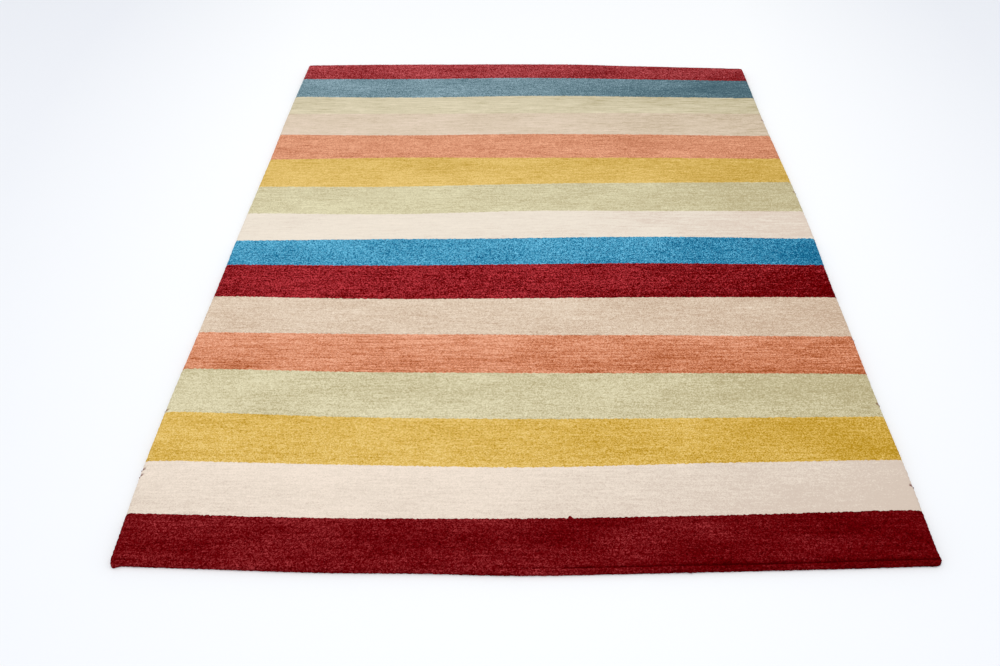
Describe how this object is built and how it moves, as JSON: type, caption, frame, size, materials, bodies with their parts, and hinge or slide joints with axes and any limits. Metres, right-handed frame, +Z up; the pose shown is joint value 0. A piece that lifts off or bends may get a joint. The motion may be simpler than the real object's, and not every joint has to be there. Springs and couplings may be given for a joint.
{
  "type": "gabbeh rug",
  "caption": "Flat rectangular hand-knotted wool rug with short pile in plain bands of colour across it, and a wool cord overcast along each long side.",
  "frame": {"origin": "centre of the rug's box, on the floor under it", "axes": "+Z up from the floor to the pile, Y along the rug with the near end towards -Y, X across the rug along its bands"},
  "size_m": [1.703, 2.43, 0.0186],
  "materials": {
    "rug_wool": "matt wool pile in plain bands of colour",
    "selvedge_wool": "matt wound wool yarn, dark red",
    "yarn_dark_red": "matt wool pile, dark red",
    "yarn_cream": "matt wool pile, cream",
    "yarn_mustard": "matt wool pile, mustard",
    "yarn_pale_green": "matt wool pile, pale green",
    "yarn_salmon": "matt wool pile, salmon",
    "yarn_beige": "matt wool pile, beige",
    "yarn_blue": "matt wool pile, blue",
    "yarn_khaki": "matt wool pile, pale khaki",
    "yarn_slate": "matt wool pile, slate blue"
  },
  "bodies": {
    "root": {"rug": "rug_wool", "selvedge_left": "selvedge_wool", "selvedge_right": "selvedge_wool"}
  },
  "joints": []
}
